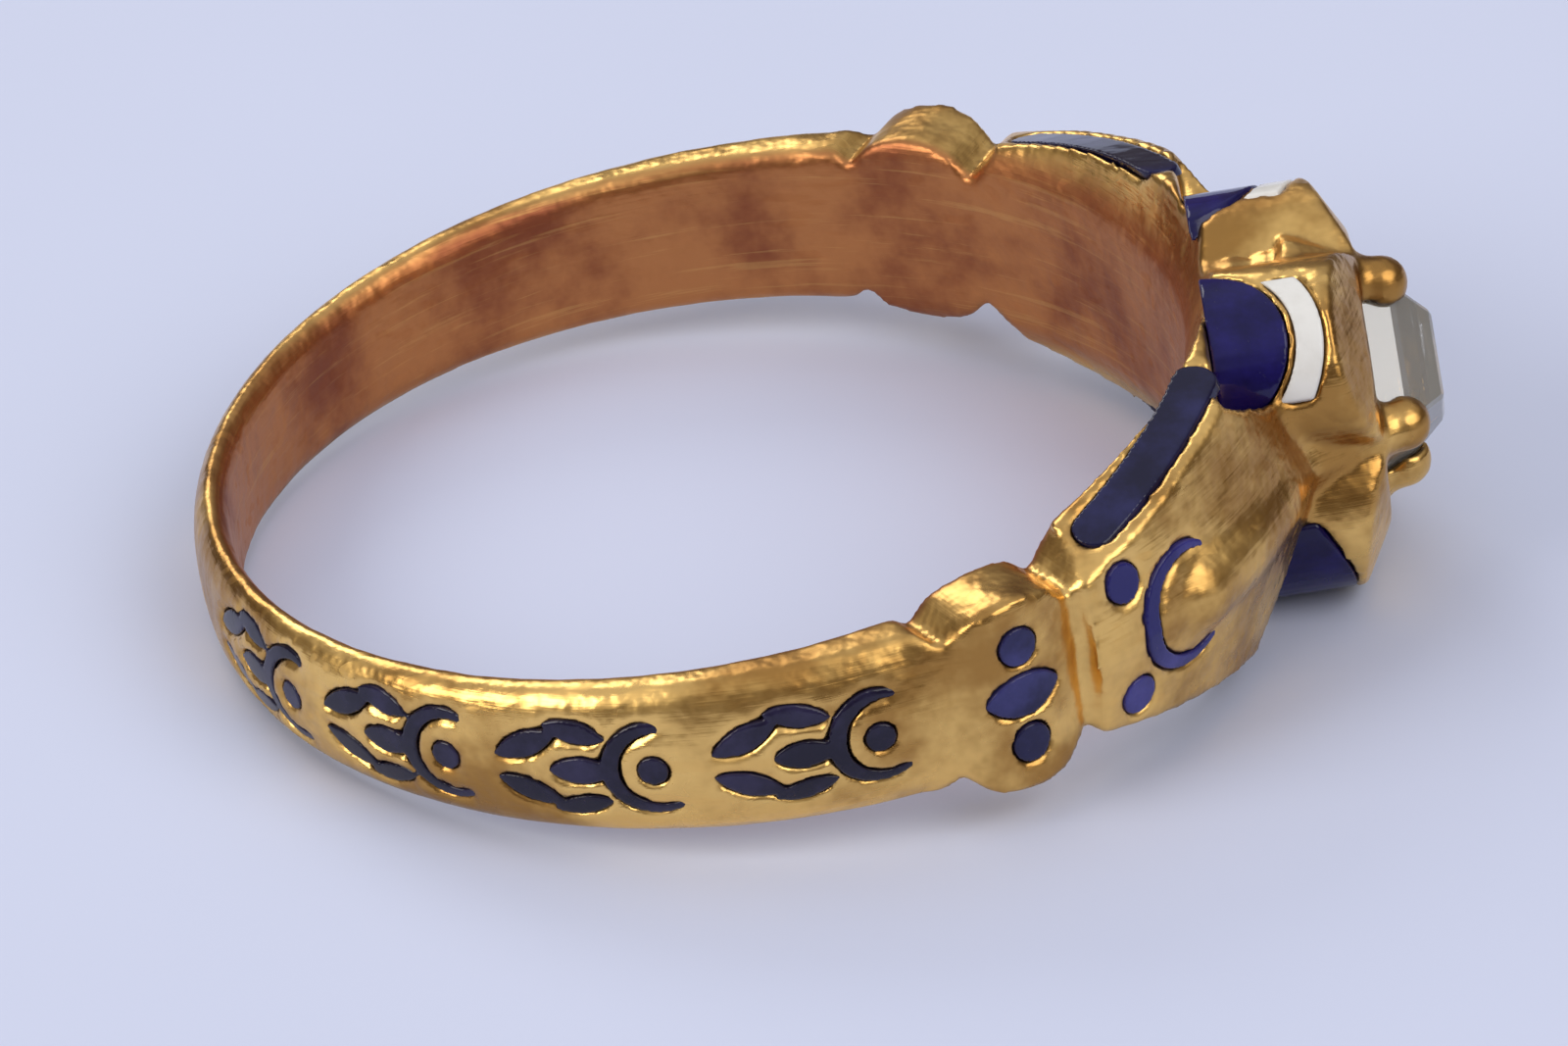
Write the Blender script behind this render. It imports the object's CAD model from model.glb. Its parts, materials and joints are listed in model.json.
import json
import math
import bmesh
import bpy
from mathutils import Matrix, Vector, noise


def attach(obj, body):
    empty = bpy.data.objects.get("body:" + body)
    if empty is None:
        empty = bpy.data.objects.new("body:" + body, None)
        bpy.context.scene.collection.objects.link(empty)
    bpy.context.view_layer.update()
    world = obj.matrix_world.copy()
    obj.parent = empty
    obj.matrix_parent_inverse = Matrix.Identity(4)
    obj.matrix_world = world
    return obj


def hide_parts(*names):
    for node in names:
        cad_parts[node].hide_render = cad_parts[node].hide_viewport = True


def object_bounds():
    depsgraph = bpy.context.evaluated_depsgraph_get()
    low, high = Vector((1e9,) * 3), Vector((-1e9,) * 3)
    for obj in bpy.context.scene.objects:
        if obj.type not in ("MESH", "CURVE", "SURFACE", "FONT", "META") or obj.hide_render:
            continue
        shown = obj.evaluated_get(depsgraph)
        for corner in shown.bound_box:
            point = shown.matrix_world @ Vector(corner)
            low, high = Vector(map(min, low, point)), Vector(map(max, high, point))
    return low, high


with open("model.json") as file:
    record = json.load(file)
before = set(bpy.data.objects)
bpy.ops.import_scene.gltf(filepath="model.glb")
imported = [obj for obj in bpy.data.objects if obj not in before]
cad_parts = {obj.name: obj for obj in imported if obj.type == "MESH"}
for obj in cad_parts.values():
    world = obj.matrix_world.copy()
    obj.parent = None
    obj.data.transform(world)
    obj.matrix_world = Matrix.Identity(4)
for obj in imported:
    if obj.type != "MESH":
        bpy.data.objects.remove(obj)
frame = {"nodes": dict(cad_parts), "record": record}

cadBox = [list(corner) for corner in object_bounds()]
mm = 0.001
scene = bpy.context.scene
scene.view_settings.view_transform = "Standard"
hole = frame["record"]["mounts"][0]
holeAxis = Vector(hole["axis"]).normalized()
holeRadius = hole["dims"]["r_mm"] * mm
restTilt = math.atan2(-holeAxis.x, holeAxis.z)
ringTurn = Matrix.Rotation(-restTilt, 4, "Y")  # from the ring's own frame to the frame it lies in
floorHeight = cadBox[0][2]
print("frame loaded, the ring leans", round(math.degrees(restTilt), 2), "degrees")


# Node helpers: addNode gives back the node, the four after it give back the socket to link

def addNode(tree, kind, inputs=None, **options):
    node = tree.nodes.new(kind)
    for name, value in options.items():
        setattr(node, name, value)
    for name, value in (inputs or {}).items():
        if isinstance(value, bpy.types.NodeSocket):
            tree.links.new(value, node.inputs[name])
        else:
            node.inputs[name].default_value = value
    return node


def maths(tree, operation, *values, clamp=False):
    inputs = dict(enumerate(values))
    return addNode(tree, "ShaderNodeMath", inputs, operation=operation, use_clamp=clamp).outputs[0]


def ramp(tree, value, start, end, low=0.0, high=1.0):
    inputs = {"Value": value, "From Min": start, "From Max": end, "To Min": low, "To Max": high}
    return addNode(tree, "ShaderNodeMapRange", inputs, interpolation_type="SMOOTHSTEP").outputs["Result"]


def mixColour(tree, share, first, second):
    inputs = {0: share, 6: first, 7: second}  # a Mix node has these sockets for colours
    return addNode(tree, "ShaderNodeMix", inputs, data_type="RGBA").outputs[2]


def noiseValue(tree, vector, scale, detail=3.0, rough=0.55):
    inputs = {"Vector": vector, "Scale": scale, "Detail": detail, "Roughness": rough}
    return addNode(tree, "ShaderNodeTexNoise", inputs).outputs["Fac"]


def newGroup(name, inputs, outputs):
    group = bpy.data.node_groups.new(name, "ShaderNodeTree")
    for label, value in inputs.items():  # None stands for a place, a number is a setting's usual value
        kind = "NodeSocketVector" if value is None else "NodeSocketFloat"
        socket = group.interface.new_socket(label, in_out="INPUT", socket_type=kind)
        if value is not None:
            socket.default_value = value
    for label in outputs:
        group.interface.new_socket(label, in_out="OUTPUT", socket_type="NodeSocketFloat")
    return group, group.nodes.new("NodeGroupInput"), group.nodes.new("NodeGroupOutput")


# Streaks that run round the hoop, as a finger and a polishing cloth leave them

def makeRubbedStreaks():
    group, given, out = newGroup(
        "rubbedStreaks",
        {"Place": None, "Along": 2.34, "Across": 9000.0},
        ["Height", "Mask"],
    )
    parts = addNode(group, "ShaderNodeSeparateXYZ", {"Vector": given.outputs["Place"]})
    flat = addNode(group, "ShaderNodeCombineXYZ", {"X": parts.outputs["X"], "Y": parts.outputs["Y"]})
    way = addNode(group, "ShaderNodeVectorMath", {0: flat.outputs[0]}, operation="NORMALIZE")
    wayParts = addNode(group, "ShaderNodeSeparateXYZ", {"Vector": way.outputs[0]})
    streakPlace = addNode(group, "ShaderNodeCombineXYZ", {
        "X": maths(group, "MULTIPLY", wayParts.outputs["X"], given.outputs["Along"]),
        "Y": maths(group, "MULTIPLY", wayParts.outputs["Y"], given.outputs["Along"]),
        "Z": maths(group, "MULTIPLY", parts.outputs["Z"], given.outputs["Across"]),
    })
    fine = noiseValue(group, streakPlace.outputs[0], scale=1.0, detail=4.0, rough=0.7)
    cut = ramp(group, fine, start=0.56, end=0.66)
    group.links.new(fine, out.inputs["Height"])
    group.links.new(cut, out.inputs["Mask"])
    return group


# Cloudy patches, used for tarnish, thin spots of polish, pits and shallow enamel

def makeCloudyPatches():
    group, given, out = newGroup(
        "cloudyPatches",
        {"Place": None, "Size": 400.0, "Start": 0.45, "End": 0.7},
        ["Mask"],
    )
    wide = noiseValue(group, given.outputs["Place"], given.outputs["Size"], detail=5.0, rough=0.62)
    group.links.new(ramp(group, wide, given.outputs["Start"], given.outputs["End"]), out.inputs["Mask"])
    return group


# Short straight hairline scratches in three crossing directions

scratchLines = {"turns": (15.0, 75.0, 140.0), "squeeze": (0.05, 1, 1), "start": 0.66, "end": 0.72}


def makeHairScratches():
    group, given, out = newGroup("hairScratches", {"Place": None, "Size": 2600.0}, ["Mask"])
    total = None
    for turn in scratchLines["turns"]:
        turned = addNode(group, "ShaderNodeMapping", {
            "Vector": given.outputs["Place"],
            "Rotation": (math.radians(turn), math.radians(turn / 2), 0),
            "Scale": scratchLines["squeeze"],
        })
        lines = noiseValue(group, turned.outputs[0], given.outputs["Size"], detail=1.0, rough=0.4)
        thin = ramp(group, lines, scratchLines["start"], scratchLines["end"])
        total = thin if total is None else maths(group, "MAXIMUM", total, thin)
    group.links.new(total, out.inputs["Mask"])
    return group


rubbedStreaks = makeRubbedStreaks()
cloudyPatches = makeCloudyPatches()
hairScratches = makeHairScratches()


def placeGroup(tree, group, **inputs):
    return addNode(tree, "ShaderNodeGroup", inputs, node_tree=group)


def ringPlace(tree):
    coords = addNode(tree, "ShaderNodeTexCoord")
    turned = addNode(tree, "ShaderNodeMapping", {
        "Vector": coords.outputs["Object"],
        "Rotation": (0, restTilt, 0),
    })
    return turned.outputs[0]


def newMaterial(name):
    material = bpy.data.materials.new(name)
    material.use_nodes = True
    tree = material.node_tree
    return material, tree, tree.nodes["Principled BSDF"]


def addBump(tree, shader, height, strength, distance):
    bump = addNode(tree, "ShaderNodeBump", {"Height": height, "Strength": strength, "Distance": distance})
    tree.links.new(bump.outputs["Normal"], shader.inputs["Normal"])


goldLook = {
    "yellow": (0.90, 0.57, 0.18, 1),
    "deepYellow": (0.44, 0.23, 0.06, 1),
    "copper": (0.56, 0.23, 0.08, 1),
    "tarnish": (0.30, 0.095, 0.045, 1),
    "grime": (0.05, 0.022, 0.01, 1),
    "copperEnds": (0.00005, 0.0003),  # metres past the wall of the hole, where copper turns to yellow
    "thinPolish": {"Size": 260.0, "Start": 0.42, "End": 0.62},
    "stains": {"Size": 330.0, "Start": 0.42, "End": 0.7},
    "rubbedShare": 0.2,
    "hollowReach": 0.0006,
    "hollowOpenness": (0.25, 0.75),
    "hollowShare": 0.75,
    "insideRoughness": 0.36,
    "outsideRoughness": 0.26,
    "hairRoughness": 0.12,
    "stainRoughness": 0.1,
    "hairDepth": -0.15,
    "dentSize": 1900.0,
    "dentDepth": 5.0,
    "bump": 0.35,
    "bumpDepth": 0.00003,
}


def makeGold():
    material, tree, shader = newMaterial("wornGold")
    look = goldLook
    place = ringPlace(tree)
    parts = addNode(tree, "ShaderNodeSeparateXYZ", {"Vector": place})
    radius = maths(tree, "SQRT", maths(
        tree, "ADD",
        maths(tree, "POWER", parts.outputs["X"], 2.0),
        maths(tree, "POWER", parts.outputs["Y"], 2.0),
    ))
    nearHole, pastHole = (holeRadius + end for end in look["copperEnds"])
    inside = ramp(tree, radius, nearHole, pastHole, 1, 0)
    streaks = placeGroup(tree, rubbedStreaks, Place=place)
    thinPolish = placeGroup(tree, cloudyPatches, Place=place, **look["thinPolish"])
    stains = placeGroup(tree, cloudyPatches, Place=place, **look["stains"])
    hairs = placeGroup(tree, hairScratches, Place=place)
    yellow = mixColour(tree, thinPolish.outputs["Mask"], look["yellow"], look["deepYellow"])
    copper = mixColour(tree, stains.outputs["Mask"], look["copper"], look["tarnish"])
    rubbedShare = maths(tree, "MULTIPLY", streaks.outputs["Mask"], look["rubbedShare"])
    rubbed = mixColour(tree, rubbedShare, copper, look["yellow"])
    colour = mixColour(tree, inside, yellow, rubbed)
    nearness = addNode(tree, "ShaderNodeAmbientOcclusion", {"Distance": look["hollowReach"]}, samples=8)
    hollows = ramp(tree, nearness.outputs["AO"], *look["hollowOpenness"], look["hollowShare"], 0)
    colour = mixColour(tree, hollows, colour, look["grime"])
    tree.links.new(colour, shader.inputs["Base Color"])
    plain = ramp(tree, inside, 0, 1, look["outsideRoughness"], look["insideRoughness"])
    hairRough = maths(tree, "MULTIPLY", hairs.outputs["Mask"], look["hairRoughness"])
    stainRough = maths(tree, "MULTIPLY", stains.outputs["Mask"], look["stainRoughness"])
    rough = maths(tree, "ADD", maths(tree, "ADD", plain, hairRough), stainRough, clamp=True)
    tree.links.new(rough, shader.inputs["Roughness"])
    shader.inputs["Metallic"].default_value = 1.0
    hairDents = maths(tree, "MULTIPLY", hairs.outputs["Mask"], look["hairDepth"])
    dentNoise = noiseValue(tree, place, look["dentSize"], detail=2.0, rough=0.5)
    dents = maths(tree, "MULTIPLY", dentNoise, look["dentDepth"])
    height = maths(tree, "ADD", maths(tree, "ADD", streaks.outputs["Height"], hairDents), dents)
    addBump(tree, shader, height, look["bump"], look["bumpDepth"])
    return material


enamelLook = {
    "clouds": {"Size": 700.0, "Start": 0.4, "End": 0.75},
    "pits": {"Size": 9000.0, "Start": 0.68, "End": 0.74},
    "hairSize": 4000.0,
    "roughness": 0.1,
    "hairRoughness": 0.08,
    "pitRoughness": 0.3,
    "ior": 1.5,
    "specular": 0.35,
    "waveSize": 1500.0,
    "pitDepth": -0.5,
    "bump": 0.25,
    "bumpDepth": 0.00004,
}

enamelColours = {  # for each slot: a name, the colour where the enamel is deep and where it is thin
    "bezel_enamel": ("cobaltEnamel", (0.004, 0.002, 0.045, 1), (0.012, 0.008, 0.12, 1)),
    "petal_enamel": ("whiteEnamel", (0.80, 0.79, 0.74, 1), (0.66, 0.64, 0.58, 1)),
    "flank_enamel": ("navyEnamel", (0.006, 0.005, 0.025, 1), (0.018, 0.018, 0.08, 1)),
    "shoulder_enamel": ("violetEnamel", (0.018, 0.016, 0.12, 1), (0.06, 0.055, 0.26, 1)),
    "knop_enamel": ("knopEnamel", (0.010, 0.009, 0.05, 1), (0.04, 0.04, 0.16, 1)),
    "hoop_enamel": ("inkEnamel", (0.008, 0.006, 0.02, 1), (0.03, 0.025, 0.07, 1)),
}


def makeEnamel(name, deep, thin):
    material, tree, shader = newMaterial(name)
    look = enamelLook
    place = ringPlace(tree)
    clouds = placeGroup(tree, cloudyPatches, Place=place, **look["clouds"])
    pits = placeGroup(tree, cloudyPatches, Place=place, **look["pits"])
    hairs = placeGroup(tree, hairScratches, Place=place, Size=look["hairSize"])
    tint = mixColour(tree, clouds.outputs["Mask"], deep, thin)
    tree.links.new(tint, shader.inputs["Base Color"])
    hairRough = maths(tree, "MULTIPLY", hairs.outputs["Mask"], look["hairRoughness"])
    pitRough = maths(tree, "MULTIPLY", pits.outputs["Mask"], look["pitRoughness"])
    rough = maths(tree, "ADD", maths(tree, "ADD", hairRough, look["roughness"]), pitRough)
    tree.links.new(rough, shader.inputs["Roughness"])
    shader.inputs["IOR"].default_value = look["ior"]
    shader.inputs["Specular IOR Level"].default_value = look["specular"]
    waves = noiseValue(tree, place, look["waveSize"], detail=2.0, rough=0.5)
    pitDents = maths(tree, "MULTIPLY", pits.outputs["Mask"], look["pitDepth"])
    addBump(tree, shader, maths(tree, "ADD", waves, pitDents), look["bump"], look["bumpDepth"])
    return material


diamondLook = {
    "tint": (1.0, 0.96, 0.84, 1),
    "clearness": 0.8,
    "ior": 2.42,
    "rubbed": {"Size": 1500.0, "Start": 0.5, "End": 0.8},
    "rubbedRoughness": 0.03,
}


def makeDiamond():
    material, tree, shader = newMaterial("clearDiamond")
    look = diamondLook
    shader.inputs["Base Color"].default_value = look["tint"]
    shader.inputs["Transmission Weight"].default_value = look["clearness"]
    shader.inputs["IOR"].default_value = look["ior"]
    rubbed = placeGroup(tree, cloudyPatches, Place=ringPlace(tree), **look["rubbed"])
    rough = maths(tree, "MULTIPLY", rubbed.outputs["Mask"], look["rubbedRoughness"])
    tree.links.new(rough, shader.inputs["Roughness"])
    return material


wornGold = makeGold()
enamels = {slotName: makeEnamel(*row) for slotName, row in enamelColours.items()}
clearDiamond = makeDiamond()
print("materials made")


# Piece helpers

def asObject(name, bm):
    mesh = bpy.data.meshes.new(name)
    bm.to_mesh(mesh)
    bm.free()
    piece = bpy.data.objects.new(name, mesh)
    scene.collection.objects.link(piece)
    return piece


def dress(piece, material, smooth=True):
    piece.data.materials.clear()
    piece.data.materials.append(material)
    piece.data.polygons.foreach_set("use_smooth", [smooth] * len(piece.data.polygons))
    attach(piece, "root")


def nodeCopy(node):
    bm = bmesh.new()
    bm.from_mesh(frame["nodes"][node].data)
    bmesh.ops.remove_doubles(bm, verts=bm.verts, dist=1e-7)
    return bm


def bakeModifiers(piece):
    graph = bpy.context.evaluated_depsgraph_get()
    baked = bpy.data.meshes.new_from_object(piece.evaluated_get(graph))
    piece.modifiers.clear()
    piece.data = baked


# A copy of a node with the soft corners of worn metal or fired glass

def softened(name, node, voxel, passes):
    bm = nodeCopy(node)
    bmesh.ops.scale(bm, vec=(1 / mm,) * 3, verts=bm.verts)  # Remesh works well near 1 and badly near 0.001
    piece = asObject(name, bm)
    skin = piece.modifiers.new("skin", "REMESH")
    skin.mode = "VOXEL"
    skin.voxel_size = voxel / mm
    wear = piece.modifiers.new("wear", "SMOOTH")
    wear.factor = 0.5
    wear.iterations = passes
    bakeModifiers(piece)
    piece.data.transform(Matrix.Scale(mm, 4))
    return piece


# The outside of the hoop falls away a little from its middle to its edges, and its enamel with it

hoopDome = {
    "shift": 0.0005,  # the hoop's outside is centred this far toward the head
    "outer": 0.00965,
    "halfWidth": 0.0014,
    "drop": 0.00034,
    "kept": 0.0001,  # wall next to the finger that stays as it is
    "from": 66.0,  # degrees from the head, where the dome fades in
    "to": 72.0,
}


def domed(vertices):
    look = hoopDome
    toRing = ringTurn.inverted()
    keep = holeRadius + look["kept"]
    for vertex in vertices:
        spot = toRing @ vertex.co
        angle = math.atan2(spot.y, spot.x)
        share = (abs(math.degrees(angle)) - look["from"]) / (look["to"] - look["from"])
        outer = look["outer"] + look["shift"] * math.cos(angle)
        radius = math.hypot(spot.x, spot.y)
        depth = (radius - keep) / (outer - keep)
        across = min(1, abs(spot.z) / look["halfWidth"])
        drop = look["drop"] * across ** 2 * max(0, min(1, depth)) * max(0, min(1, share))
        shrink = 1 - drop / radius
        vertex.co = ringTurn @ Vector((spot.x * shrink, spot.y * shrink, spot.z))


goldBody = {"voxel": 0.000098, "wearPasses": 7, "ripple": 0.000012, "rippleSize": 900.0}


def makeGoldBody():
    piece = softened("gold_ring", "ring_body", goldBody["voxel"], goldBody["wearPasses"])
    bm = bmesh.new()
    bm.from_mesh(piece.data)
    for vertex in bm.verts:
        swell = noise.noise(vertex.co * goldBody["rippleSize"])
        vertex.co += vertex.normal * swell * goldBody["ripple"]
    domed(bm.verts)
    bm.to_mesh(piece.data)
    bm.free()
    dress(piece, wornGold)
    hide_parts("ring_body")
    print("gold ring:", len(piece.data.polygons), "faces")


enamelCells = {"voxel": 0.000035, "softPasses": 3}


def makeEnamelCells():
    for row in frame["record"]["subparts"]:
        if row["material_slot"] not in enamels:
            continue
        name = row["node"].replace("enamel", "glaze").replace("cells", "glaze").replace("scrolls", "glaze")
        piece = softened(name, row["node"], enamelCells["voxel"], enamelCells["softPasses"])
        if row["material_slot"] == "hoop_enamel":
            domed(piece.data.vertices)
        dress(piece, enamels[row["material_slot"]])
        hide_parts(row["node"])
        print(name, len(piece.data.polygons), "faces")


stoneCut = {"edge": 0.00006, "flatAngle": 1.0}


def makeStone():
    bm = nodeCopy("diamond")
    flat = math.radians(stoneCut["flatAngle"])
    bmesh.ops.dissolve_limit(bm, angle_limit=flat, verts=bm.verts, edges=bm.edges)
    bmesh.ops.bevel(
        bm, geom=bm.edges, offset=stoneCut["edge"], affect="EDGES",
        segments=1, profile=0.5, material=-1,
    )
    piece = asObject("cut_diamond", bm)
    dress(piece, clearDiamond, smooth=False)
    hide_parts("diamond")
    print("diamond:", len(piece.data.polygons), "facets")


makeGoldBody()
makeEnamelCells()
makeStone()


# Floor, light and camera

floorLook = {
    "half": 2.0,
    "colour": (0.66, 0.71, 0.88, 1),
    "deeper": 0.94,
    "cloudSize": 40.0,
    "roughness": 0.8,
}


def makeFloor():
    bm = bmesh.new()
    bmesh.ops.create_grid(bm, x_segments=1, y_segments=1, size=floorLook["half"])
    bmesh.ops.translate(bm, vec=(0, 0, floorHeight), verts=bm.verts)
    floor = asObject("floor", bm)
    material, tree, shader = newMaterial("paleFloor")
    coords = addNode(tree, "ShaderNodeTexCoord")
    shade = noiseValue(tree, coords.outputs["Object"], floorLook["cloudSize"], detail=3.0, rough=0.5)
    deeper = tuple(floorLook["deeper"] * value for value in floorLook["colour"][:3]) + (1,)
    tree.links.new(mixColour(tree, shade, floorLook["colour"], deeper), shader.inputs["Base Color"])
    shader.inputs["Roughness"].default_value = floorLook["roughness"]
    floor.data.materials.append(material)


softLights = [
    {"name": "left", "place": (-0.46, -0.20, 0.30), "size": 0.34, "power": 1.5, "colour": (1, 0.97, 0.93)},
    {"name": "behind", "place": (-0.22, 0.50, 0.36), "size": 0.30, "power": 0.7, "colour": (1, 0.98, 0.95)},
    {"name": "right", "place": (0.40, -0.36, 0.46), "size": 0.60, "power": 2.0, "colour": (1, 0.98, 0.95)},
]

roomLight = {
    "walls": (0.20, 0.17, 0.15, 1),
    "sky": (0.86, 0.88, 1.0, 1),
    "low": 0.25,
    "high": 0.95,
    "strength": 0.75,
}


def makeLights():
    for row in softLights:
        data = bpy.data.lights.new(row["name"], "AREA")
        data.shape = "DISK"
        data.size = row["size"]
        data.energy = row["power"]
        data.color = row["colour"]
        lamp = bpy.data.objects.new(row["name"], data)
        scene.collection.objects.link(lamp)
        lamp.location = row["place"]
        lamp.rotation_mode = "QUATERNION"
        lamp.rotation_quaternion = (-Vector(row["place"])).to_track_quat("-Z", "Y")
    world = bpy.data.worlds.new("softRoom")
    scene.world = world
    world.use_nodes = True
    tree = world.node_tree
    coords = addNode(tree, "ShaderNodeTexCoord")
    parts = addNode(tree, "ShaderNodeSeparateXYZ", {"Vector": coords.outputs["Generated"]})
    high = ramp(tree, parts.outputs["Z"], roomLight["low"], roomLight["high"])
    background = tree.nodes["Background"]
    tree.links.new(mixColour(tree, high, roomLight["walls"], roomLight["sky"]), background.inputs["Color"])
    background.inputs["Strength"].default_value = roomLight["strength"]


cameraView = {
    "azimuth": -1.6,
    "elevation": 30.76,
    "roll": 9.58,
    "distance": 0.200,
    "pixelsPerMm": 58.31,
    "centrePixel": (728.55, 485.59),  # where the middle of the finger hole lies in the picture
    "picture": (1600, 1067),
    "sensor": 36.0,
    "nearClip": 0.01,
}


def makeCamera():
    view = cameraView
    azimuth, elevation, roll = (math.radians(view[key]) for key in ("azimuth", "elevation", "roll"))
    level = Vector((math.cos(azimuth), -math.sin(azimuth), 0))
    ahead = Vector((
        math.sin(azimuth) * math.cos(elevation),
        math.cos(azimuth) * math.cos(elevation),
        -math.sin(elevation),
    ))
    upright = level.cross(ahead)
    right = level * math.cos(roll) - upright * math.sin(roll)
    up = level * math.sin(roll) + upright * math.cos(roll)
    shiftX = (view["centrePixel"][0] - view["picture"][0] / 2) / view["pixelsPerMm"] * mm
    shiftY = -(view["centrePixel"][1] - view["picture"][1] / 2) / view["pixelsPerMm"] * mm
    place = -ahead * view["distance"] - right * shiftX - up * shiftY
    data = bpy.data.cameras.new("camera")
    data.sensor_width = view["sensor"]
    focalPixels = view["pixelsPerMm"] * view["distance"] / mm
    data.lens = view["sensor"] * focalPixels / view["picture"][0]
    data.clip_start = view["nearClip"]
    camera = bpy.data.objects.new("camera", data)
    scene.collection.objects.link(camera)
    turn = Matrix((right, up, -ahead)).transposed().to_4x4()
    camera.matrix_world = ringTurn @ Matrix.Translation(place) @ turn
    scene.camera = camera


makeFloor()
makeLights()
makeCamera()
print("floor, light and camera set")
